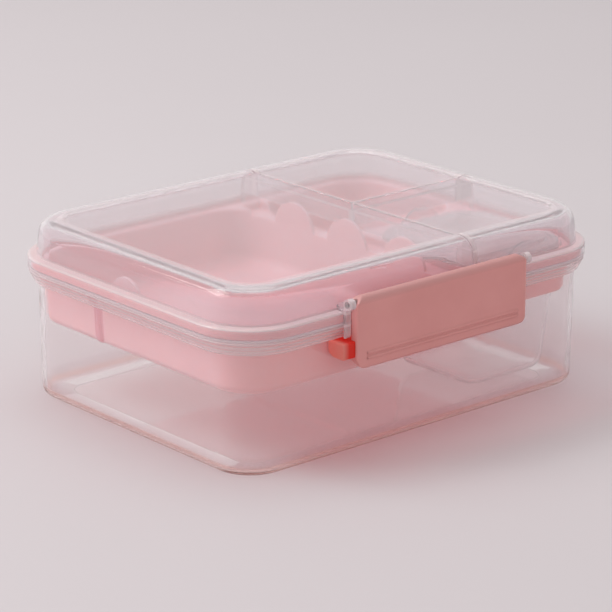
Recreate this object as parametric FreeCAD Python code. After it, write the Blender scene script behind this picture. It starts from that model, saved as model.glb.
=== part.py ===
"""Lunch box: clear hinged box, pink food tray, clear side cup and a pink snap latch.

Millimetres, +Z up. The origin is the centre of the footprint on the resting face.
X is the long side, the latch is on the -Y side and the hinge on the +Y side.
An "inset" is how far an outline lies inside the outline of the lid skirt.
"""
import FreeCAD, Part
import os

# ---------------------------------------------------------------- driving dimensions
LENGTH = 240.0            # over the lid skirt, along X
WIDTH = 186.6             # over the lid skirt, along Y
SKIRT_RADIUS = 32.0       # plan corner radius of the lid skirt

FLOOR = 2.4               # base floor thickness
WALL = 2.0                # base wall thickness
BASE_INSET = 6.6          # base wall just under the flange
BASE_RADIUS = 21.5        # plan corner radius of the base wall there
BASE_DRAFT = 0.7          # further inset of the base wall at the resting face
BASE_EDGE = 5.0           # round between base wall and resting face
FOOT_INSET = 22.0         # outline of the shallow recess under the floor
FOOT_RECESS = 0.7
FLANGE_STEPS = [(60.6, 62.7, 2.8), (62.7, 64.9, 1.7), (64.9, 67.0, 0.5)]   # z, z, inset
FLANGE_BOTTOM = 60.6
FLANGE_TOP = 67.0
BEAD_INSETS = (2.8, 4.2)  # raised bead that the gasket closes on
BEAD_HEIGHT = 1.2
CATCH_HALF = 48.0         # half length of the catch bar in front of the flange
CATCH_FRONT = -93.0
CATCH_TOP = 63.4

SKIRT_BOTTOM = 67.3
SKIRT_TOP = 73.9
SKIRT_WALL = 1.6
LID_PLATE = 1.3           # lid flange thickness over the gasket
LIP_TOP = 70.2            # room for the flange and its bead inside the skirt
DOME_INSET = 4.5          # dome wall at the lid flange
DOME_TOP_INSET = 6.4      # dome wall carried up to the ridge, before its shoulder is rounded
DOME_WALL = 1.8
SHOULDER = 8.0            # outer round of the dome's shoulder
SHOULDER_INSIDE = 5.0
RIDGE_TOP = 91.0          # slightly raised ring round the plateau
RIDGE_SLOPE = 1.6
PLATEAU_INSET = 18.4
PLATEAU_TOP = 89.9
PLATEAU_UNDER = 88.1
RIB_BOTTOM = 76.0
RIB_THICKNESS = 1.6
RIB_ROOT = 0.6            # how deep the ribs run into the lid
RIB_X = 30.0              # rib across the lid
RIB_Y = 1.0               # rib from the cross rib to the right wall

GASKET_BOTTOM = 68.5
GASKET_INSET = 1.8
GASKET_WIDTH = 3.2

TRAY_RIM_INSET = 7.2
TRAY_RIM_BOTTOM = 67.3
TRAY_RIM_TOP = 71.0
TRAY_LIP = 1.3            # round on the mouth of the cells and on the outside of the rim
TRAY_WALL = 2.0
TRAY_TOP_INSET = 8.9      # outer face of the tray wall under the rim
TRAY_BOTTOM_INSET = 10.4
TRAY_RADIUS = 21.0        # plan corner radius of the tray wall under the rim
TRAY_DEEP = 39.0          # underside of the deep cells
TRAY_SHALLOW = 49.8       # underside of the ring that holds the cup
RING_INSET = 2.6          # how far that ring stands in from the tray wall
RING_EDGE = 1.2
CELL_EDGE = 7.0           # round between cell wall and cell floor
CELL_DRAFT = 1.6
WEB_LEFT = 25.2           # left face of the web between the cells
WEB_RIGHT = 33.4
WEB_TOP = 67.4
WEB_REACH = 2.5           # how far the lowered web runs into the cells, past the rounded lip
TAB_RADIUS = 15.0         # three round finger tabs on the web
TAB_TOP = 80.4
TAB_PLACES = [41.0, 0.0, -42.0]
TAB_THICKNESS = 1.6
END_TAB = (-108.4, 5.2)   # x and y of the smaller tab at the left end
END_TAB_RADIUS = 12.0
END_TAB_TOP = 77.4
END_RIB = (107.3, 25.5)   # x and y of the upright locating rib on each end wall
END_RIB_RADIUS = 3.5

CUP_CENTRE = (71.4, -42.4)
CUP_HALF = (34.6, 36.4)   # cup body just under its rim
CUP_RADIUS = 17.0
CUP_TAPER = 6.8
CUP_BOTTOM = 6.2
CUP_EDGE = 8.0
CUP_WALL = 1.4
CUP_FLOOR = 1.8
CUP_GAP = 0.6             # between the cup and its opening in the tray
CUP_RIM = 1.8             # how far the rim stands out over the tray
CUP_RIM_BOTTOM = 71.3
CUP_RIM_TOP = 72.2
CUP_TAB_TOP = 79.6
CAP_BOTTOM = 72.5
CAP_TOP = 73.7
CAP_PANEL = 1.4           # height of the raised panel on the cap
PLUG_DEPTH = 2.4

LATCH_X = -0.9            # middle of the latch
LATCH_HALF = 55.0
LATCH_AXIS = (-96.3, 78.0)
LATCH_ROLL = 3.3
LATCH_BOTTOM = 46.2
LATCH_WALL = 2.3
LATCH_CORNER = 6.0        # corner radius seen from the front
LATCH_EDGE = 1.5          # round at the upright edges of the face
LATCH_CHEEK = -95.2       # rear edge of the end cheeks
LATCH_NOSE = -93.4        # the nose stops just outside the catch on the base
LATCH_LINES = (51.3, 53.7)
LATCH_PIN = 1.6
LUG_THICKNESS = 3.0
LUG_RADIUS = 2.7          # round end of the lug about the latch pin
RUNNING_FIT = 0.08

HINGE_AXIS = (98.2, 66.0)
HINGE_PLACES = [-48.0, 48.0]
HINGE_KNUCKLE = 3.4
HINGE_PIN = 1.5
HINGE_HALF = 9.0          # half width of a lid knuckle
HINGE_CHEEK = 3.0
SIDE_GAP = 0.4
BIG = 400.0


# ---------------------------------------------------------------- helpers
def vec(x, y, z):
    return FreeCAD.Vector(x, y, z)


def radians(degrees):
    return FreeCAD.Units.Quantity(degrees, FreeCAD.Units.Angle).getValueAs("rad").Value


def slab(x0, x1, y0, y1, z0, z1):
    return Part.makeBox(x1 - x0, y1 - y0, z1 - z0, vec(x0, y0, z0))


def rod(y, z, radius, x0, x1):
    return Part.makeCylinder(radius, x1 - x0, vec(x0, y, z), vec(1, 0, 0))


def round_wire(hx, hy, radius, z, centre=(0.0, 0.0)):
    """Closed rounded rectangle at height z, as four arcs and four lines."""
    cx, cy = centre
    arcs = []
    for sx, sy, turn in [(1, -1, -90), (1, 1, 0), (-1, 1, 90), (-1, -1, 180)]:
        middle = vec(cx + sx * (hx - radius), cy + sy * (hy - radius), z)
        circle = Part.Circle(middle, vec(0, 0, 1), radius)
        arcs.append(Part.Arc(circle, radians(turn), radians(turn + 90)).toShape())
    edges = []
    for i, arc in enumerate(arcs):
        following = arcs[(i + 1) % 4]
        edges.append(arc)
        edges.append(Part.LineSegment(arc.lastVertex().Point, following.firstVertex().Point).toShape())
    return Part.Wire(edges)


def block(hx, hy, radius, z0, z1, centre=(0.0, 0.0)):
    """Upright block with a rounded rectangle as its plan."""
    face = Part.Face(round_wire(hx, hy, radius, z0, centre))
    return face.extrude(vec(0, 0, z1 - z0))


def taper(low, high, z0, z1, centre=(0.0, 0.0)):
    """Drafted block between two rounded rectangles given as (hx, hy, radius)."""
    wires = [round_wire(*low, z0, centre), round_wire(*high, z1, centre)]
    return Part.makeLoft(wires, True, True)


def inset(amount, radius=None):
    """Half sizes and corner radius of the skirt outline moved inwards."""
    corner = SKIRT_RADIUS - amount if radius is None else radius
    return (LENGTH / 2 - amount, WIDTH / 2 - amount, corner)


def ring(outer, inner, z0, z1):
    return block(*inset(outer), z0, z1).cut(block(*inset(inner), z0 - 1, z1 + 1))


def inset_of(edge):
    """How far the middle of an edge lies inside the skirt outline."""
    point = edge.valueAt((edge.FirstParameter + edge.LastParameter) / 2)
    x = abs(point.x) - (LENGTH / 2 - SKIRT_RADIUS)
    y = abs(point.y) - (WIDTH / 2 - SKIRT_RADIUS)
    if x > 0 and y > 0:
        return SKIRT_RADIUS - (x * x + y * y) ** 0.5
    return SKIRT_RADIUS - max(x, y)


def flat_edges(shape, z, keep=None):
    """Edges that lie wholly at height z, and pass keep(edge) if it is given."""
    found = []
    for edge in shape.Edges:
        box = edge.BoundBox
        if max(abs(box.ZMin - z), abs(box.ZMax - z)) < 0.02 and (keep is None or keep(edge)):
            found.append(edge)
    return found


def side_profile(points, x0, x1):
    """Polygon of (y, z) points extruded along X."""
    loop = [vec(x0, y, z) for y, z in points]
    face = Part.Face(Part.makePolygon(loop + [loop[0]]))
    return face.extrude(vec(x1 - x0, 0, 0))


def save(name, shape):
    shape = shape.removeSplitter()
    solids = shape.Solids
    state = "ok" if shape.isValid() else "INVALID"
    print(name, "solids", len(solids), "volume", round(shape.Volume), state)
    target = solids[0] if len(solids) == 1 else Part.makeCompound(solids)
    target.exportStep("parts/%s.step" % name)


# ---------------------------------------------------------------- base
def base_cavity():
    low = inset(BASE_INSET + BASE_DRAFT + WALL, BASE_RADIUS - BASE_DRAFT - WALL)
    high = inset(BASE_INSET + WALL, BASE_RADIUS - WALL)
    hollow = taper(low, high, FLOOR, FLANGE_TOP)
    hollow = hollow.makeFillet(BASE_EDGE - WALL, flat_edges(hollow, FLOOR))
    return hollow.fuse(block(*high, FLANGE_TOP - 0.01, FLANGE_TOP + 5))


def hinge_cheeks():
    """Lugs on the rear flange, two for each hinge."""
    y, z = HINGE_AXIS
    back = WIDTH / 2 - 3.0
    web = [(back, 61.0), (back, 66.8), (y - 2.0, 66.8), (y + 2.4, z - 2.4), (y - 0.5, 61.5)]
    pieces = []
    for place in HINGE_PLACES:
        for side in (-1, 1):
            near = place + side * (HINGE_HALF + SIDE_GAP)
            ends = sorted([near, near + side * HINGE_CHEEK])
            pieces.append(rod(y, z, HINGE_KNUCKLE, *ends).fuse(side_profile(web, *ends)))
    return pieces


def hinge_rods(reach):
    return [rod(*HINGE_AXIS, HINGE_PIN, place - reach, place + reach) for place in HINGE_PLACES]


def hinge_pins():
    """One plain pin for each hinge, pressed into the lugs."""
    return Part.makeCompound(hinge_rods(HINGE_HALF + SIDE_GAP + HINGE_CHEEK))


def base_box():
    foot_outline = inset(BASE_INSET + BASE_DRAFT, BASE_RADIUS - BASE_DRAFT)
    body = taper(foot_outline, inset(BASE_INSET, BASE_RADIUS), 0.0, FLANGE_BOTTOM)
    body = body.makeFillet(BASE_EDGE, flat_edges(body, 0.0))
    for z0, z1, step in FLANGE_STEPS:
        plate = block(*inset(step), z0, z1)
        plate = plate.makeFillet(0.5, flat_edges(plate, z1) + flat_edges(plate, z0))
        body = body.fuse(plate)
    bead_top = FLANGE_TOP + BEAD_HEIGHT
    bead = ring(*BEAD_INSETS, FLANGE_TOP - 0.2, bead_top)
    body = body.fuse(bead.makeFillet(0.5, flat_edges(bead, bead_top)))
    body = body.fuse(slab(-CATCH_HALF, CATCH_HALF, CATCH_FRONT, -88.0, FLANGE_BOTTOM, CATCH_TOP))
    for piece in hinge_cheeks():
        body = body.fuse(piece)
    body = body.cut(base_cavity())
    for bore in hinge_rods(HINGE_HALF + SIDE_GAP + HINGE_CHEEK + 1.0):
        body = body.cut(bore)
    recess = block(*inset(FOOT_INSET), -1.0, FOOT_RECESS)
    return body.cut(recess.makeFillet(0.6, flat_edges(recess, FOOT_RECESS)))


# ---------------------------------------------------------------- lid
def dome_outer():
    """Dome with a large rounded shoulder and a slightly raised ring round its plateau."""
    dome = taper(inset(DOME_INSET), inset(DOME_TOP_INSET), SKIRT_TOP - 0.5, RIDGE_TOP)
    dome = dome.makeFillet(SHOULDER, flat_edges(dome, RIDGE_TOP))
    pocket = taper(inset(PLATEAU_INSET), inset(PLATEAU_INSET - RIDGE_SLOPE), PLATEAU_TOP, RIDGE_TOP)
    dome = dome.cut(pocket)
    crest = PLATEAU_INSET - RIDGE_SLOPE
    return dome.makeFillet(1.0, flat_edges(dome, RIDGE_TOP, lambda edge: abs(inset_of(edge) - crest) < 0.2))


def dome_inner(grow=0.0):
    """Hollow under the dome, or the same form larger all round by grow."""
    low = inset(DOME_INSET + DOME_WALL - grow)
    high = inset(DOME_TOP_INSET + DOME_WALL - grow)
    top = PLATEAU_UNDER + grow
    hollow = taper(low, high, SKIRT_BOTTOM - 1, top)
    return hollow.makeFillet(SHOULDER_INSIDE + grow, flat_edges(hollow, top))


def lid_ribs():
    """T of two ribs that close the cells of the tray from above."""
    half = RIB_THICKNESS / 2
    cross = slab(RIB_X - half, RIB_X + half, -BIG, BIG, RIB_BOTTOM, RIDGE_TOP)
    along = slab(RIB_X, BIG, RIB_Y - half, RIB_Y + half, RIB_BOTTOM, RIDGE_TOP)
    return cross.fuse(along).common(dome_inner(RIB_ROOT))


def latch_lugs():
    """Upright lug at each end of the latch, from the dome wall down in front of the flange."""
    y, z = LATCH_AXIS
    behind = -WIDTH / 2 - 0.4
    outline = [(-87.6, 71.0), (-87.6, 76.0), (y + 1.4, 80.2), (y - 1.0, 80.2), (LATCH_CHEEK, 75.6),
               (LATCH_CHEEK, 62.2), (LATCH_CHEEK + 0.6, 61.4), (behind, 61.4), (behind, 67.6),
               (behind + 1.4, 67.6), (behind + 1.4, 71.0)]
    pieces = []
    for side in (-1, 1):
        near = LATCH_X + side * (LATCH_HALF + SIDE_GAP)
        ends = sorted([near, near + side * LUG_THICKNESS])
        lug = side_profile(outline, *ends).fuse(rod(y, z, LUG_RADIUS, *ends))
        pieces.append(lug.cut(rod(y, z, LATCH_PIN, ends[0] - 1, ends[1] + 1)))
    return pieces


def hinge_knuckles():
    y, z = HINGE_AXIS
    root = WIDTH / 2 - 1.0
    arm = [(root, 68.0), (root, 73.0), (y + 0.6, 71.4), (y + 2.8, 68.2), (y - 2.6, 68.2)]
    pieces = []
    for place in HINGE_PLACES:
        x0 = place - HINGE_HALF
        x1 = place + HINGE_HALF
        knuckle = rod(y, z, HINGE_KNUCKLE, x0, x1).fuse(side_profile(arm, x0, x1))
        pieces.append(knuckle.cut(rod(y, z, HINGE_PIN + RUNNING_FIT, x0 - 1, x1 + 1)))
    return pieces


def lid_shell():
    skirt = block(*inset(0.0), SKIRT_BOTTOM, SKIRT_TOP)
    skirt = skirt.makeFillet(1.2, flat_edges(skirt, SKIRT_TOP))
    skirt = skirt.makeFillet(0.5, flat_edges(skirt, SKIRT_BOTTOM))
    body = skirt.fuse(dome_outer())
    for lug in latch_lugs():
        body = body.fuse(lug)
    channel = ring(SKIRT_WALL, DOME_INSET + 0.6, SKIRT_BOTTOM - 1, SKIRT_TOP - LID_PLATE)
    lip_space = ring(SKIRT_WALL, DOME_INSET + DOME_WALL + 0.5, SKIRT_BOTTOM - 1, LIP_TOP)
    body = body.cut(channel.fuse(lip_space)).cut(dome_inner())
    body = body.fuse(lid_ribs())
    for knuckle in hinge_knuckles():
        body = body.fuse(knuckle)
    return body


def lid_gasket():
    shape = ring(GASKET_INSET, GASKET_INSET + GASKET_WIDTH, GASKET_BOTTOM, SKIRT_TOP - LID_PLATE)
    return shape.makeFillet(0.7, flat_edges(shape, GASKET_BOTTOM))


# ---------------------------------------------------------------- latch
def latch_outlines():
    """Latch outline seen from the front and from above, each as a block to cut the latch to."""
    y, z = LATCH_AXIS
    top = z + LATCH_ROLL
    front = block(LATCH_HALF, (top - LATCH_BOTTOM) / 2, LATCH_CORNER, 0, 60)
    front.rotate(vec(0, 0, 0), vec(1, 0, 0), 90)
    front.translate(vec(LATCH_X, -70, (top + LATCH_BOTTOM) / 2))
    depth = 20.0
    centre = (LATCH_X, y - LATCH_ROLL + depth)
    above = block(LATCH_HALF, depth, LATCH_EDGE, LATCH_BOTTOM - 1, top + 1, centre)
    return front, above


def front_latch():
    y, z = LATCH_AXIS
    face = y - LATCH_ROLL
    x0 = LATCH_X - LATCH_HALF
    x1 = LATCH_X + LATCH_HALF
    foot = [(face, z), (face, LATCH_BOTTOM + 0.9), (face + 0.9, LATCH_BOTTOM),
            (face + LATCH_WALL, LATCH_BOTTOM), (face + LATCH_WALL, z)]
    body = side_profile(foot, x0, x1).fuse(rod(y, z, LATCH_ROLL, x0, x1))
    cheek = [(face + 1.0, z), (face + 1.0, LATCH_BOTTOM + 1.0), (face + 2.0, LATCH_BOTTOM + 1.0),
             (LATCH_CHEEK, LATCH_BOTTOM + 4.5), (LATCH_CHEEK, z)]
    for ends in [(x0, x0 + LATCH_WALL), (x1 - LATCH_WALL, x1)]:
        body = body.fuse(side_profile(cheek, *ends))
    for outline in latch_outlines():
        body = body.common(outline)
    hook = [(face + 1.0, 57.4), (face + 1.0, 60.3), (LATCH_NOSE, 60.3), (LATCH_NOSE, 59.2),
            (LATCH_NOSE - 1.6, 57.4)]
    body = body.fuse(side_profile(hook, LATCH_X - 46, LATCH_X + 46))
    for height in LATCH_LINES:
        body = body.fuse(rod(face + 0.1, height, 0.75, LATCH_X - 49, LATCH_X + 49))
    return body.cut(rod(y, z, LATCH_PIN + RUNNING_FIT, -BIG, BIG))


def latch_pin():
    reach = LATCH_HALF + SIDE_GAP + LUG_THICKNESS + 0.3
    return rod(*LATCH_AXIS, LATCH_PIN, LATCH_X - reach, LATCH_X + reach)


# ---------------------------------------------------------------- tray
def cell(x0, x1, y0, y1, radius):
    """Open hollow with drafted walls and a rounded floor edge."""
    hx = (x1 - x0) / 2
    hy = (y1 - y0) / 2
    centre = ((x0 + x1) / 2, (y0 + y1) / 2)
    floor_z = TRAY_DEEP + TRAY_WALL
    low = (hx - CELL_DRAFT, hy - CELL_DRAFT, radius - 1.0)
    hollow = taper(low, (hx, hy, radius), floor_z, TRAY_RIM_TOP, centre)
    return hollow.makeFillet(CELL_EDGE, flat_edges(hollow, floor_z))


def tray_body():
    """Outer form of the tray, deep on the left and behind, shallow and set in round the cup."""
    low = inset(TRAY_BOTTOM_INSET, TRAY_RADIUS - 1.5)
    high = inset(TRAY_TOP_INSET, TRAY_RADIUS)
    body = taper(low, high, TRAY_DEEP, TRAY_RIM_BOTTOM + 1)
    body = body.makeFillet(5.0, flat_edges(body, TRAY_DEEP))
    for rib in end_ribs():
        body = body.fuse(rib)
    cup_side = slab(WEB_LEFT + 3.6, BIG, -BIG, RIB_Y - 2.4, -BIG, TRAY_RIM_BOTTOM)
    neck_outline = inset(TRAY_TOP_INSET + RING_INSET, TRAY_RADIUS - RING_INSET)
    neck = block(*neck_outline, TRAY_SHALLOW, TRAY_RIM_BOTTOM + 1)
    neck = neck.makeFillet(RING_EDGE, flat_edges(neck, TRAY_SHALLOW))
    body = body.cut(cup_side).fuse(neck.common(cup_side))
    rim = block(*inset(TRAY_RIM_INSET), TRAY_RIM_BOTTOM, TRAY_RIM_TOP)
    return body.fuse(rim)


def end_ribs():
    """Upright half-round locating rib on the outside of each end wall."""
    x, y = END_RIB
    foot = TRAY_DEEP + 1.0
    ribs = []
    for side in (-1, 1):
        rib = Part.makeCylinder(END_RIB_RADIUS, TRAY_RIM_BOTTOM + 0.5 - foot, vec(side * x, y, foot))
        ribs.append(rib.makeFillet(2.6, flat_edges(rib, foot)))
    return ribs


def finger_tabs():
    """Half-round tabs: three on the web between the cells, a smaller one at the left end."""
    tabs = []
    for place in TAB_PLACES:
        disc = Part.makeCylinder(TAB_RADIUS, TAB_THICKNESS,
                                 vec(WEB_LEFT, place, TAB_TOP - TAB_RADIUS), vec(1, 0, 0))
        tabs.append(disc)
    x, y = END_TAB
    start = vec(x - TAB_THICKNESS / 2, y, END_TAB_TOP - END_TAB_RADIUS)
    tabs.append(Part.makeCylinder(END_TAB_RADIUS, TAB_THICKNESS, start, vec(1, 0, 0)))
    above = slab(-BIG, BIG, -BIG, BIG, TRAY_RIM_BOTTOM - 2.0, BIG)
    return [tab.common(above) for tab in tabs]


def web_slots():
    """Space under the hollow webs, open below like the rest of a moulded tray."""
    top = WEB_TOP - TRAY_WALL
    back = WIDTH / 2 - TRAY_TOP_INSET - TRAY_WALL - 4.0
    left = WEB_LEFT + TRAY_WALL
    wall = 1.8
    opening_left = CUP_CENTRE[0] - CUP_HALF[0] - CUP_GAP
    opening_back = CUP_CENTRE[1] + CUP_HALF[1] + CUP_GAP
    rear = slab(left, WEB_RIGHT - TRAY_WALL, 6.0, back, -BIG, top)
    front = slab(left, opening_left - wall, 22.0 - back, 6.0, -BIG, top)
    along = slab(left, 96.0, opening_back + wall, RIB_Y + 3.0 - wall, -BIG, top)
    return rear.fuse(front).fuse(along)


def food_tray():
    wall = TRAY_TOP_INSET + TRAY_WALL
    right = LENGTH / 2 - wall
    back = WIDTH / 2 - wall
    body = tray_body()
    body = body.cut(cell(-right, WEB_LEFT, -back, back, 20.0))
    body = body.cut(cell(WEB_RIGHT, right, RIB_Y + 3.0, back, 19.0))
    hx, hy = CUP_HALF
    body = body.cut(block(hx + CUP_GAP, hy + CUP_GAP, CUP_RADIUS + CUP_GAP, 0, 100, CUP_CENTRE))
    body = body.makeFillet(TRAY_LIP, flat_edges(body, TRAY_RIM_TOP))
    lowered = slab(WEB_LEFT - WEB_REACH, WEB_RIGHT + WEB_REACH, 2 - back, back - 2, WEB_TOP, 100)
    body = body.cut(lowered).cut(web_slots())
    for tab in finger_tabs():
        body = body.fuse(tab)
    return body


# ---------------------------------------------------------------- cup
def cup_tabs():
    """Half-round lifting tabs on the front and back of the cup rim."""
    cx, cy = CUP_CENTRE
    thickness = 1.2
    tabs = []
    for side in (-1, 1):
        y = cy + side * (CUP_HALF[1] + CUP_RIM / 2) - thickness / 2
        disc = Part.makeCylinder(TAB_RADIUS, thickness, vec(cx, y, CUP_TAB_TOP - TAB_RADIUS), vec(0, 1, 0))
        tabs.append(disc.common(slab(-BIG, BIG, -BIG, BIG, CUP_RIM_BOTTOM, BIG)))
    return tabs


def side_cup():
    hx, hy = CUP_HALF
    low = (hx - CUP_TAPER, hy - CUP_TAPER, CUP_RADIUS - 5.0)
    body = taper(low, (hx, hy, CUP_RADIUS), CUP_BOTTOM, CUP_RIM_BOTTOM, CUP_CENTRE)
    body = body.makeFillet(CUP_EDGE, flat_edges(body, CUP_BOTTOM))
    rim = block(hx + CUP_RIM, hy + CUP_RIM, CUP_RADIUS + CUP_RIM, CUP_RIM_BOTTOM, CUP_RIM_TOP, CUP_CENTRE)
    body = body.fuse(rim.makeFillet(0.4, flat_edges(rim, CUP_RIM_TOP)))
    inner = CUP_TAPER + CUP_WALL
    floor_z = CUP_BOTTOM + CUP_FLOOR
    hollow = taper((hx - inner, hy - inner, CUP_RADIUS - 6.4), (hx - CUP_WALL, hy - CUP_WALL, CUP_RADIUS - 1.4),
                   floor_z, CUP_RIM_TOP + 0.1, CUP_CENTRE)
    body = body.cut(hollow.makeFillet(CUP_EDGE - CUP_WALL, flat_edges(hollow, floor_z)))
    for tab in cup_tabs():
        body = body.fuse(tab)
    return body


def cup_cap():
    """Press-in cap: a plate over the rim, a plug ring inside it and a raised panel."""
    hx, hy = CUP_HALF
    plate = block(hx, hy, CUP_RADIUS, CAP_BOTTOM, CAP_TOP, CUP_CENTRE)
    plate = plate.makeFillet(0.5, flat_edges(plate, CAP_TOP))
    panel_top = CAP_TOP + CAP_PANEL
    panel = taper((hx - 5.0, hy - 5.0, 12.6), (hx - 6.4, hy - 6.4, 11.2), CAP_TOP - 0.2, panel_top, CUP_CENTRE)
    panel = panel.makeFillet(0.7, flat_edges(panel, panel_top))
    outer = CUP_WALL + 0.5
    plug = taper((hx - outer - 1.0, hy - outer - 1.0, 14.0), (hx - outer, hy - outer, 15.0),
                 CAP_BOTTOM - PLUG_DEPTH, CAP_BOTTOM + 0.4, CUP_CENTRE)
    inner = outer + 2.2
    space = block(hx - inner, hy - inner, 13.0, CAP_BOTTOM - 5.0, CAP_BOTTOM, CUP_CENTRE)
    raised = block(hx - 7.6, hy - 7.6, 10.0, CAP_BOTTOM - 1.0, CAP_TOP + 0.2, CUP_CENTRE)
    return plate.fuse(panel).fuse(plug).cut(space).cut(raised)


def main():
    os.makedirs("parts", exist_ok=True)
    save("base_box", base_box())
    save("lid_shell", lid_shell())
    save("lid_gasket", lid_gasket())
    save("hinge_pins", hinge_pins())
    save("front_latch", front_latch())
    save("latch_pin", latch_pin())
    save("food_tray", food_tray())
    save("side_cup", side_cup())
    save("cup_cap", cup_cap())


main()
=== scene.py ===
"""Looks for the lunch box: clear plastics, pink plastics, a pale studio floor and soft light."""
import bmesh
import bpy
import math
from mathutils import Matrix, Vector


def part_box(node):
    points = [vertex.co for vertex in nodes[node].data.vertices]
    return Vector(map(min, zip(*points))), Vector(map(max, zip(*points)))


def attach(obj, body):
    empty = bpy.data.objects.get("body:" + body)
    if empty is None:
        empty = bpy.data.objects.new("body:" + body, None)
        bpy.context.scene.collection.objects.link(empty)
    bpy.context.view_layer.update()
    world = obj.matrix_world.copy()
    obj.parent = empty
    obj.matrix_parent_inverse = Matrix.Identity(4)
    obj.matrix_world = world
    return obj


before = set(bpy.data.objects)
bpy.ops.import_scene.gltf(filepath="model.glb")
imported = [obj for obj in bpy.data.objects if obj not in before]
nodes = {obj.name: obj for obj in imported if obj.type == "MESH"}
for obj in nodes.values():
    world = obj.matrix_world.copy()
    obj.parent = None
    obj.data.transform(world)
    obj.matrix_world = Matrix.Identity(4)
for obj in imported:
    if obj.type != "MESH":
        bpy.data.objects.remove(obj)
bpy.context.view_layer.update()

# ---------------------------------------------------------------- camera
AZIMUTH = -40.75
ELEVATION = 17.94
DISTANCE = 1.380
LENS = 162.0
AIM = Vector((-0.0009, 0.0007, 0.0416))


def add_camera():
    az = math.radians(AZIMUTH)
    el = math.radians(ELEVATION)
    back = Vector((math.sin(az) * math.cos(el), -math.cos(az) * math.cos(el), math.sin(el)))
    data = bpy.data.cameras.new("camera")
    data.lens = LENS
    data.sensor_width = 36.0
    data.clip_end = 50.0
    camera = bpy.data.objects.new("camera", data)
    bpy.context.scene.collection.objects.link(camera)
    camera.location = AIM + back * DISTANCE
    camera.rotation_euler = back.to_track_quat("Z", "Y").to_euler()
    bpy.context.scene.camera = camera


# ---------------------------------------------------------------- node helpers
class Graph:
    """A small helper to build one material's node tree."""

    def __init__(self, name):
        self.material = bpy.data.materials.new(name)
        self.material.use_nodes = True
        self.tree = self.material.node_tree
        self.tree.nodes.clear()
        self.output = self.add("ShaderNodeOutputMaterial")

    def add(self, kind, **values):
        node = self.tree.nodes.new(kind)
        for key, value in values.items():
            setattr(node, key, value)
        return node

    def link(self, source, target):
        self.tree.links.new(source, target)

    def feed(self, value, socket):
        """Link a socket, or set a plain number or colour."""
        if isinstance(value, float):
            socket.default_value = value
        elif isinstance(value, tuple):
            socket.default_value = (*value, 1.0)
        else:
            self.link(value, socket)

    def coords(self, scale=(1, 1, 1)):
        where = self.add("ShaderNodeTexCoord")
        mapping = self.add("ShaderNodeMapping")
        mapping.inputs["Scale"].default_value = scale
        self.link(where.outputs["Object"], mapping.inputs["Vector"])
        return mapping.outputs["Vector"]

    def place(self):
        """Object x, y and z, in metres."""
        split = self.add("ShaderNodeSeparateXYZ")
        self.link(self.coords(), split.inputs["Vector"])
        return [split.outputs[axis] for axis in "XYZ"]

    def noise(self, scale, detail=3.0, vector=None, roughness=0.5):
        node = self.add("ShaderNodeTexNoise")
        node.inputs["Scale"].default_value = scale
        node.inputs["Detail"].default_value = detail
        node.inputs["Roughness"].default_value = roughness
        self.link(vector or self.coords(), node.inputs["Vector"])
        return node.outputs["Fac"]

    def spread(self, value, low, high, first=0.3, last=0.7):
        """Low up to first, high from last on, even in between."""
        node = self.add("ShaderNodeMapRange")
        node.inputs["From Min"].default_value = first
        node.inputs["From Max"].default_value = last
        node.inputs["To Min"].default_value = low
        node.inputs["To Max"].default_value = high
        self.link(value, node.inputs["Value"])
        return node.outputs["Result"]

    def ramp(self, value, stops):
        node = self.add("ShaderNodeValToRGB")
        for i, (place, colour) in enumerate(stops):
            element = node.color_ramp.elements[i] if i < 2 else node.color_ramp.elements.new(place)
            element.position = place
            element.color = (*colour, 1.0)
        self.link(value, node.inputs["Fac"])
        return node.outputs["Color"]

    def blend(self, factor, first, second):
        """Colour between two colours."""
        node = self.add("ShaderNodeMixRGB")
        for name, value in (("Fac", factor), ("Color1", first), ("Color2", second)):
            self.feed(value, node.inputs[name])
        return node.outputs["Color"]

    def math(self, operation, first, second=0.0):
        node = self.add("ShaderNodeMath", operation=operation)
        for socket, value in zip(node.inputs, (first, second)):
            self.feed(value, socket)
        return node.outputs["Value"]

    def distance(self, first, second):
        return self.math("ABSOLUTE", self.math("SUBTRACT", first, second))

    def bump(self, height, strength, distance, under=None):
        node = self.add("ShaderNodeBump")
        node.inputs["Strength"].default_value = strength
        node.inputs["Distance"].default_value = distance
        self.link(height, node.inputs["Height"])
        if under is not None:
            self.link(under, node.inputs["Normal"])
        return node.outputs["Normal"]

    def mix(self, factor, first, second):
        node = self.add("ShaderNodeMixShader")
        self.feed(factor, node.inputs["Fac"])
        self.link(first, node.inputs[1])
        self.link(second, node.inputs[2])
        return node.outputs["Shader"]

    def show(self, surface):
        self.link(surface, self.output.inputs["Surface"])
        return self.material

    def show_lit_through(self, surface, pass_tint, share=1.0):
        """Lamp rays cross the wall tinted, and so does a share of the light scattered by what is near."""
        clear = self.add("ShaderNodeBsdfTransparent")
        self.feed(pass_tint, clear.inputs["Color"])
        rays = self.add("ShaderNodeLightPath")
        lamps = self.mix(rays.outputs["Is Shadow Ray"], surface, clear.outputs["BSDF"])
        scattered = self.mix(share, surface, clear.outputs["BSDF"])
        return self.show(self.mix(rays.outputs["Is Diffuse Ray"], lamps, scattered))


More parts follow.
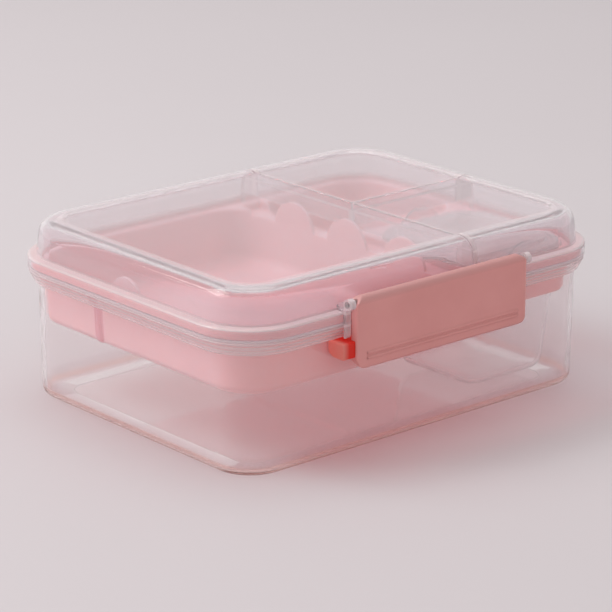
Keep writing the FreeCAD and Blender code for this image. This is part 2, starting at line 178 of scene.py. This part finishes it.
# ---------------------------------------------------------------- milkiness of the clear plastics
# Milkiness is the share of light that a surface scatters. Places are in metres, and each pair
# of places is the span of a fade, apart from the heights of edges.
PLATEAU = (0.1016, 0.0749, 0.0136)   # half sizes and corner radius of the lid's plateau
PLATEAU_EDGE = (-0.0015, 0.0010)     # inside and outside the edge of the plateau
LID_HAZE = (0.15, 0.23)              # plateau, walls
SKIRT = (0.0715, 0.0732)             # top of the skirt
SKIRT_CLEARER = 0.40
SHOULDER = (0.080, 0.087)
SHOULDER_CLEARER = 0.55
CREST_AT = 0.0018                    # middle of the raised ring, outside the plateau's edge, where a painted highlight band runs
CREST_HALF = (0.0012, 0.0026)
CREST_HIGHLIGHT_HAZE = 0.15
LUG_FRONT = (-0.0937, -0.0934)       # y in front of which there are only the latch lugs
LUG_HAZE = 0.20
LID_EDGES = (0.0677, 0.0736)         # lower edge of the skirt, edge of the flange, where painted highlight lines run
LID_EDGE_HALF = 0.0008

RIB_X = 0.030                        # the rib across the lid
RIB_Y = 0.001                        # the rib from there to the right wall
RIB_HALF = (0.0011, 0.0014)
RIB_LINE = 0.0842                    # height of the milky line along the ribs
RIB_LINE_HALF = (0.0004, 0.0007)
RIB_BELOW_LINE = (0.0840, 0.0845)
RIB_CORNER_HALF = (0.0016, 0.0022)
RIB_HAZE = 0.40
RIB_SKIN_Z = (0.0880, 0.0884)        # underside of the plateau
RIB_SKIN_EDGE = (0.0, 0.001)         # about the edge of the plateau, past which ribs join the walls
RIB_SKIN_HAZE = 0.24

BASE_HAZE = (0.10, 0.22)             # wall, flange
BASE_FLANGE = (0.0592, 0.0612)
BASE_EDGES = (0.0607, 0.0627, 0.0649, 0.0669)   # steps of the flange, where painted highlight lines run
BASE_EDGE_HALF = 0.0006
# milkiness of the painted highlight lines along moulded edges
EDGE_HIGHLIGHT_HAZE = 0.30
LINE_CORE = 0.6                      # share of a painted highlight line's width that doesn't fade
MOST_HAZE = 0.60


def outline_distance(g, outline):
    """Distance from the core of a rounded rectangle; at its edge this is the corner radius."""
    hx, hy, corner = outline
    steps = [("ABSOLUTE", None), ("SUBTRACT", (hx - corner, hy - corner, 0)), ("MULTIPLY", (1, 1, 0)),
             ("MAXIMUM", (0, 0, 0))]
    value = g.coords()
    for operation, operand in steps:
        node = g.add("ShaderNodeVectorMath", operation=operation)
        g.link(value, node.inputs[0])
        if operand is not None:
            node.inputs[1].default_value = operand
        value = node.outputs["Vector"]
    length = g.add("ShaderNodeVectorMath", operation="LENGTH")
    g.link(value, length.inputs[0])
    return length.outputs["Value"]


def past_edge(g, out, outline, span, low, high):
    """Low inside an outline's edge, high outside it."""
    edge = outline[2]
    return g.spread(out, low, high, edge + span[0], edge + span[1])


def edge_highlight_lines(g, z, heights, half):
    """Painted highlights: milky lines along the moulded edges at the given heights."""
    nearest = g.distance(z, heights[0])
    for height in heights[1:]:
        nearest = g.math("MINIMUM", nearest, g.distance(z, height))
    return g.spread(nearest, EDGE_HIGHLIGHT_HAZE, 0.0, half * LINE_CORE, half)


def rib_haze(g, out):
    """Milkiness of the ribs: a line along them, the corner where they meet, the skin they join."""
    x, y, z = g.place()
    across = g.distance(x, RIB_X)
    from_along = g.distance(y, RIB_Y)
    along = g.math("MAXIMUM", from_along, g.math("SUBTRACT", RIB_X, x))
    near = g.spread(g.math("MINIMUM", across, along), 1.0, 0.0, *RIB_HALF)
    line = g.spread(g.distance(z, RIB_LINE), RIB_HAZE, 0.0, *RIB_LINE_HALF)
    corner = g.spread(g.math("MAXIMUM", across, from_along), RIB_HAZE, 0.0, *RIB_CORNER_HALF)
    lower_corner = g.math("MULTIPLY", corner, g.spread(z, 1.0, 0.0, *RIB_BELOW_LINE))
    skin = g.math("MAXIMUM", g.spread(z, 0.0, RIB_SKIN_HAZE, *RIB_SKIN_Z),
                  past_edge(g, out, PLATEAU, RIB_SKIN_EDGE, 0.0, RIB_SKIN_HAZE))
    return g.math("MULTIPLY", near, g.math("MAXIMUM", skin, g.math("MAXIMUM", line, lower_corner)))


def lid_haze(g):
    """Clear plateau, milkier walls, clearer shoulder and skirt, milky ribs and lugs, and painted
    highlights: a milky band on the crest and milky lines at the edges.
    """
    y, z = g.place()[1:]
    out = outline_distance(g, PLATEAU)
    top = past_edge(g, out, PLATEAU, PLATEAU_EDGE, *LID_HAZE)
    skirt = g.spread(z, SKIRT_CLEARER, 1.0, *SKIRT)
    shoulder = g.spread(z, 1.0, SHOULDER_CLEARER, *SHOULDER)
    milk = g.math("MULTIPLY", top, g.math("MULTIPLY", skirt, shoulder))
    from_crest = g.distance(out, PLATEAU[2] + CREST_AT)
    extras = [g.spread(from_crest, CREST_HIGHLIGHT_HAZE, 0.0, *CREST_HALF), rib_haze(g, out),
              edge_highlight_lines(g, z, LID_EDGES, LID_EDGE_HALF), g.spread(y, LUG_HAZE, 0.0, *LUG_FRONT)]
    for extra in extras:
        milk = g.math("ADD", milk, extra)
    return g.math("MINIMUM", milk, MOST_HAZE)


def base_haze(g):
    """The base is clear up to its stepped flange, which is milkier, most of all at its steps, where
    painted highlight lines run.
    """
    z = g.place()[2]
    milk = g.spread(z, *BASE_HAZE, *BASE_FLANGE)
    return g.math("ADD", milk, edge_highlight_lines(g, z, BASE_EDGES, BASE_EDGE_HALF))


def even_haze(amount):
    def haze(g):
        return g.spread(g.noise(30.0, 3.0), amount * 0.9, amount * 1.1)
    return haze


# ---------------------------------------------------------------- clear plastics
GLASS = (0.950, 0.940, 0.945)
MILKY = (0.79, 0.70, 0.71)           # colour of the plastic where it scatters most
MILKY_FROM = (0.10, 0.42)            # milkiness over which the colour changes to that
EDGE_RISE = (1.0, 1.5)               # how much milkier: seen face on, seen edge on
EDGE_ON = (0.6, 1.0)                 # over this span of the Facing output
CLEARNESS = (1.0, 0.2)               # transmission at the first and last milkiness of the next line
CLEARNESS_OVER = (0.0, 0.8)

FOOT = (0.1127, 0.0860, 0.0208)      # outline of the base where it meets the floor
INNER_ROUND_SHADE = (0.88, 0.81, 0.82)     # where the walls round into the floor: a pinker tint, painted shade that dims the bright streak there
PAINTED_EDGE_GLOW = (0.97, 0.66, 0.56)       # painted glow: warm light along the base's thickest edge, the rounded one that it stands on
FOOT_ZONES = (((-0.0035, -0.0010), (0.0020, 0.0060)),   # edge: span about the outline, span in height
              ((-0.0090, -0.0070), (0.0070, 0.0110)))   # inner round


def foot_tint_shade_and_glow(g):
    """Plain tint, with painted shade making it pinker where the walls round into the floor and a painted
    warm glow along the standing edge.
    """
    out = outline_distance(g, FOOT)
    z = g.place()[2]
    zones = [g.math("MULTIPLY", past_edge(g, out, FOOT, span, 0.0, 0.5), g.spread(z, 1.0, 0.0, *low))
             for span, low in FOOT_ZONES]
    return g.ramp(g.math("ADD", *zones), [(0.0, GLASS), (0.5, INNER_ROUND_SHADE), (1.0, PAINTED_EDGE_GLOW)])


def clear_plastic(name, tint, haze, least_rough, most_rough, pass_tint):
    """Clear moulded polypropylene: a little milky, more so edge on, with soft waves and fine scuffs."""
    g = Graph(name)
    shader = g.add("ShaderNodeBsdfPrincipled")
    shader.inputs["IOR"].default_value = 1.40
    cloudy = haze(g)
    plain = tint(g) if callable(tint) else tint
    g.link(g.blend(g.spread(cloudy, 0.0, 1.0, *MILKY_FROM), plain, MILKY), shader.inputs["Base Color"])
    facing = g.add("ShaderNodeLayerWeight")
    facing.inputs["Blend"].default_value = 0.35
    milk = g.math("MULTIPLY", cloudy, g.spread(facing.outputs["Facing"], *EDGE_RISE, *EDGE_ON))
    g.link(g.spread(milk, *CLEARNESS, *CLEARNESS_OVER), shader.inputs["Transmission Weight"])
    scuffs = g.noise(160.0, 5.0, g.coords((1.0, 1.0, 2.5)), 0.6)
    g.link(g.spread(scuffs, least_rough, most_rough), shader.inputs["Roughness"])
    waves = g.bump(g.noise(14.0, 2.0), 0.10, 0.002)
    grain = g.bump(g.noise(1500.0, 2.0), 0.03, 0.0002, waves)
    g.link(grain, shader.inputs["Normal"])
    return g.show_lit_through(shader.outputs["BSDF"], pass_tint)


def lid_plastic():
    return clear_plastic("clear_lid_plastic", (0.948, 0.925, 0.945), lid_haze, 0.010, 0.04,
                         (0.865, 0.855, 0.88))


def base_plastic():
    return clear_plastic("clear_base_plastic", foot_tint_shade_and_glow, base_haze, 0.010, 0.04, (0.985, 0.972, 0.972))


def cup_plastic():
    return clear_plastic("clear_cup_plastic", GLASS, even_haze(0.08), 0.03, 0.08, (0.97, 0.94, 0.94))


def cap_plastic():
    return clear_plastic("milky_cap_plastic", (0.95, 0.90, 0.91), even_haze(0.16), 0.12, 0.2,
                         (0.92, 0.88, 0.88))


def pin_plastic():
    return clear_plastic("pin_plastic", (0.96, 0.94, 0.94), even_haze(0.15), 0.1, 0.2, (0.9, 0.87, 0.87))


# ---------------------------------------------------------------- pink plastics
RIB_SHADE_DEPTH = (0.86, 0.58, 0.66)         # how much deeper the pink is painted on the tray's end ribs, as shade
END_RIB_Y = 0.0255
END_RIB_HALF = (0.0026, 0.0040)
END_RIB_X = (0.1092, 0.1096)         # just outside the end walls
END_RIB_TOP = (0.066, 0.067)
LATCH_GLOW_PINK = (0.78, 0.30, 0.27)      # painted reflection: pink light thrown back from the latch onto the tray's latch side
LATCH_GLOW_SHARE = 0.5
LATCH_GLOW_REACH = (-0.084, -0.058)
ROLL_SHADE_PINK = (0.53, 0.258, 0.250)     # the latch's rolled top, painted darker as shade
ROLL_SHADE_FROM = (0.0775, 0.0805)
LATCH_SOFT_EDGE = 0.0013


def pink_clouds(g):
    return g.spread(g.noise(28.0, 4.0), 0.5, 1.0, 0.35, 0.65)


def cloudy_pink(g, clouds, dark, light):
    """From the painted-shade colour of the end ribs at 0 over dark at a half to light at 1."""
    rib_shade = tuple(channel * factor for channel, factor in zip(dark, RIB_SHADE_DEPTH))
    return g.ramp(clouds, [(0.0, rib_shade), (0.5, dark), (1.0, light)])


def rib_shade_mask(g):
    """1 on the two upright ribs at the ends of the tray, which are painted a deeper pink as shade."""
    x, y, z = g.place()
    on_rib = g.spread(g.distance(y, END_RIB_Y), 1.0, 0.0, *END_RIB_HALF)
    outside = g.spread(g.math("ABSOLUTE", x), 0.0, 1.0, *END_RIB_X)
    return g.math("MULTIPLY", g.math("MULTIPLY", on_rib, outside), g.spread(z, 1.0, 0.0, *END_RIB_TOP))


def satin(g, pink, rough, subsurface, reach, grain_strength, soft_edge=0.0):
    """Moulded plastic: satin, fine grain, a little light under the surface, edges rounded if asked."""
    shader = g.add("ShaderNodeBsdfPrincipled")
    g.link(pink, shader.inputs["Base Color"])
    shader.inputs["Subsurface Weight"].default_value = subsurface
    shader.inputs["Subsurface Radius"].default_value = (1.0, 0.45, 0.40)
    shader.inputs["Subsurface Scale"].default_value = reach
    shader.inputs["IOR"].default_value = 1.48
    wear = g.noise(210.0, 5.0, roughness=0.6)
    g.link(g.spread(wear, rough - 0.05, rough + 0.07), shader.inputs["Roughness"])
    rounded = None
    if soft_edge > 0.0:
        bevel = g.add("ShaderNodeBevel", samples=6)
        bevel.inputs["Radius"].default_value = soft_edge
        rounded = bevel.outputs["Normal"]
    waves = g.bump(g.noise(20.0, 2.0), 0.08, 0.001, rounded)
    grain = g.bump(g.noise(2600.0, 3.0), grain_strength, 0.0001, waves)
    g.link(grain, shader.inputs["Normal"])
    return shader.outputs["BSDF"]


def tray_plastic():
    """Slightly see-through to light, painted a deeper pink on its end ribs as shade, and warmer towards
    the latch as a painted reflection of it.
    """
    g = Graph("tray_plastic")
    # painted shade: the end ribs are pushed to a deeper pink
    clouds = g.math("SUBTRACT", pink_clouds(g), rib_shade_mask(g))
    pink = cloudy_pink(g, clouds, (0.79, 0.41, 0.44), (0.83, 0.45, 0.48))
    # painted reflection: the tray's pink turns warmer towards the latch
    latch_glow = g.spread(g.place()[1], LATCH_GLOW_SHARE, 0.0, *LATCH_GLOW_REACH)
    surface = satin(g, g.blend(latch_glow, pink, LATCH_GLOW_PINK), 0.34, 0.5, 0.006, 0.05)
    return g.show_lit_through(surface, (0.91, 0.60, 0.60), 0.75)


def gasket_silicone():
    g = Graph("gasket_silicone")
    pink = cloudy_pink(g, pink_clouds(g), (0.93, 0.43, 0.42), (0.96, 0.48, 0.47))
    return g.show(satin(g, pink, 0.5, 0.4, 0.003, 0.04))


def latch_plastic():
    g = Graph("latch_plastic")
    pink = cloudy_pink(g, pink_clouds(g), (0.70, 0.296, 0.279), (0.74, 0.324, 0.307))
    # painted shade: the rolled top of the latch is darker than its face
    roll_shade = g.spread(g.place()[2], 0.0, 1.0, *ROLL_SHADE_FROM)
    return g.show(satin(g, g.blend(roll_shade, pink, ROLL_SHADE_PINK), 0.38, 0.08, 0.001, 0.10, LATCH_SOFT_EDGE))


# ---------------------------------------------------------------- the CAD nodes
SHARP_ANGLE = 35.0


def paint(material, *names):
    for name in names:
        data = nodes[name].data
        data.materials.clear()
        data.materials.append(material)
        for polygon in data.polygons:
            polygon.material_index = 0


def paint_nodes():
    paint(lid_plastic(), "lid_shell")
    paint(base_plastic(), "base_box")
    paint(cup_plastic(), "side_cup")
    paint(cap_plastic(), "cup_cap")
    paint(pin_plastic(), "hinge_pins", "latch_pin")
    paint(tray_plastic(), "food_tray")
    paint(gasket_silicone(), "lid_gasket")
    paint(latch_plastic(), "front_latch")


def smooth(data):
    """Smooth shading with crisp corners."""
    for polygon in data.polygons:
        polygon.use_smooth = True
    data.set_sharp_from_angle(angle=math.radians(SHARP_ANGLE))


def smooth_nodes():
    """Flat faces keep their true normals next to rounds."""
    for node in nodes.values():
        smooth(node.data)
        weighted = node.modifiers.new("flat_faces", "WEIGHTED_NORMAL")
        weighted.mode = "FACE_AREA"
        weighted.weight = 100
        weighted.keep_sharp = True


# ---------------------------------------------------------------- red wing at the latch's left end, put where the latch's shade and its reflected pink fall
LATCH_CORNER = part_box("front_latch")[0]   # least x, y and z
WING_OUT = 0.0075         # how far the wing reaches past the end of the latch
WING_LENGTH = 0.0155
WING_FRONT = LATCH_CORNER[1] + 0.0022
WING_BACK = -0.0873       # just clear of the base wall
WING_TOP = 0.0602         # just under the base flange
WING_BOTTOM = 0.0522
WING_ROUND = 0.0042
WING_ROUND_STEPS = 8
WING_SHARP_ANGLE = 40.0   # edges that turn more than this are bevelled
WING_BEVEL = 0.0007
WING_SHADE_FADE = (-0.0630, -0.0590)   # x over which the wing's painted shade turns from pale to deep red


def wing_shade_plastic():
    """Painted shade and reflected pink: deep red next to the latch, where its shade falls, paler further
    out.
    """
    g = Graph("latch_wing_painted_shade")
    shader = g.add("ShaderNodeBsdfPrincipled")
    # painted shade: the red deepens towards the latch
    depth = g.spread(g.place()[0], 0.0, 1.0, *WING_SHADE_FADE)
    red = g.ramp(depth, [(0.05, (0.70, 0.225, 0.185)), (0.85, (0.70, 0.022, 0.011))])
    g.link(red, shader.inputs["Base Color"])
    shader.inputs["Specular IOR Level"].default_value = 0.25
    shader.inputs["Subsurface Weight"].default_value = 0.4
    shader.inputs["Subsurface Radius"].default_value = (1.0, 0.25, 0.2)
    shader.inputs["Subsurface Scale"].default_value = 0.003
    g.link(g.spread(g.noise(210.0, 4.0), 0.36, 0.48), shader.inputs["Roughness"])
    g.link(g.bump(g.noise(2600.0, 3.0), 0.08, 0.0001), shader.inputs["Normal"])
    return g.show(shader.outputs["BSDF"])


def wing_outline():
    """Side outline of the wing as (y, z), square above and quarter round below."""
    points = [(WING_FRONT, WING_BOTTOM), (WING_FRONT, WING_TOP), (WING_BACK, WING_TOP)]
    middle = (WING_BACK - WING_ROUND, WING_BOTTOM + WING_ROUND)
    for i in range(WING_ROUND_STEPS + 1):
        turn = math.radians(-90.0 * i / WING_ROUND_STEPS)
        points.append((middle[0] + WING_ROUND * math.cos(turn), middle[1] + WING_ROUND * math.sin(turn)))
    return points


def add_shade_wing():
    start = LATCH_CORNER[0] - WING_OUT
    form = bmesh.new()
    ends = [[form.verts.new((x, y, z)) for y, z in wing_outline()] for x in (start, start + WING_LENGTH)]
    count = len(ends[0])
    form.faces.new(ends[0])
    form.faces.new(list(reversed(ends[1])))
    for i in range(count):
        j = (i + 1) % count
        form.faces.new((ends[0][j], ends[0][i], ends[1][i], ends[1][j]))
    bmesh.ops.recalc_face_normals(form, faces=form.faces)
    sharp = [edge for edge in form.edges if edge.calc_face_angle() > math.radians(WING_SHARP_ANGLE)]
    bmesh.ops.bevel(form, geom=sharp, offset=WING_BEVEL, segments=4, affect="EDGES", profile=0.5)
    data = bpy.data.meshes.new("latch_shade_wing_left")
    form.to_mesh(data)
    form.free()
    smooth(data)
    data.materials.append(wing_shade_plastic())
    wing = bpy.data.objects.new("latch_shade_wing_left", data)
    bpy.context.scene.collection.objects.link(wing)
    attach(wing, "latch")


# ---------------------------------------------------------------- stage
FLOOR_SHADES = ((0.545, 0.508, 0.525), (0.553, 0.516, 0.533))
FLOOR_SIZE = 12.0
LIT_POINT = Vector((0, 0, 0.03))
ROOM_COLOUR = (1.0, 0.97, 0.965, 1.0)
WALL_LIGHT = 0.88
CEILING_LIGHT = 0.63
CEILING_FROM = 0.5        # sine of the elevation above which the room is all ceiling


def floor_paint():
    g = Graph("studio_floor")
    shader = g.add("ShaderNodeBsdfPrincipled")
    shade = g.ramp(g.noise(3.0, 3.0), list(zip((0.3, 0.7), FLOOR_SHADES)))
    g.link(shade, shader.inputs["Base Color"])
    shader.inputs["Roughness"].default_value = 0.6
    shader.inputs["Specular IOR Level"].default_value = 0.2
    g.link(g.bump(g.noise(900.0, 2.0), 0.02, 0.0002), shader.inputs["Normal"])
    return g.show(shader.outputs["BSDF"])


def add_floor():
    bpy.ops.mesh.primitive_plane_add(size=FLOOR_SIZE, location=(0, 0, 0))
    floor = bpy.context.object
    floor.name = "floor"
    floor.data.materials.append(floor_paint())


def add_area(name, place, size, power, colour):
    """Square lamp that shines at the middle of the box."""
    data = bpy.data.lights.new(name, "AREA")
    data.shape = "SQUARE"
    data.size = size
    data.energy = power
    data.color = colour
    light = bpy.data.objects.new(name, data)
    bpy.context.scene.collection.objects.link(light)
    light.location = place
    light.rotation_euler = (Vector(place) - LIT_POINT).to_track_quat("Z", "Y").to_euler()


def studio_world():
    """Soft white room, brighter towards its walls than overhead."""
    world = bpy.data.worlds.new("studio")
    world.use_nodes = True
    tree = world.node_tree
    background = tree.nodes["Background"]
    background.inputs["Color"].default_value = ROOM_COLOUR
    where = tree.nodes.new("ShaderNodeTexCoord")
    split = tree.nodes.new("ShaderNodeSeparateXYZ")
    height = tree.nodes.new("ShaderNodeMapRange")
    height.inputs["From Min"].default_value = 0.0
    height.inputs["From Max"].default_value = CEILING_FROM
    height.inputs["To Min"].default_value = WALL_LIGHT
    height.inputs["To Max"].default_value = CEILING_LIGHT
    tree.links.new(where.outputs["Generated"], split.inputs["Vector"])
    tree.links.new(split.outputs["Z"], height.inputs["Value"])
    tree.links.new(height.outputs["Result"], background.inputs["Strength"])
    return world


def add_lights():
    add_area("key_back_left", (-1.3, 1.1, 1.7), 1.3, 32.5, (1.0, 0.985, 0.975))
    add_area("top", (0.2, 0.3, 2.2), 1.6, 12.0, (1.0, 0.98, 0.975))
    add_area("glint", (-0.90, 0.72, 1.25), 0.13, 1.2, (1.0, 0.99, 0.98))
    bpy.context.scene.world = studio_world()


def set_looks():
    scene = bpy.context.scene
    scene.view_settings.view_transform = "Standard"
    scene.view_settings.look = "None"
    scene.cycles.max_bounces = 24
    scene.cycles.transmission_bounces = 20
    scene.cycles.transparent_max_bounces = 32
    scene.cycles.glossy_bounces = 8
    scene.cycles.diffuse_bounces = 6
    scene.cycles.caustics_refractive = False
    scene.cycles.caustics_reflective = False


add_camera()
smooth_nodes()
paint_nodes()
add_shade_wing()
add_floor()
add_lights()
set_looks()
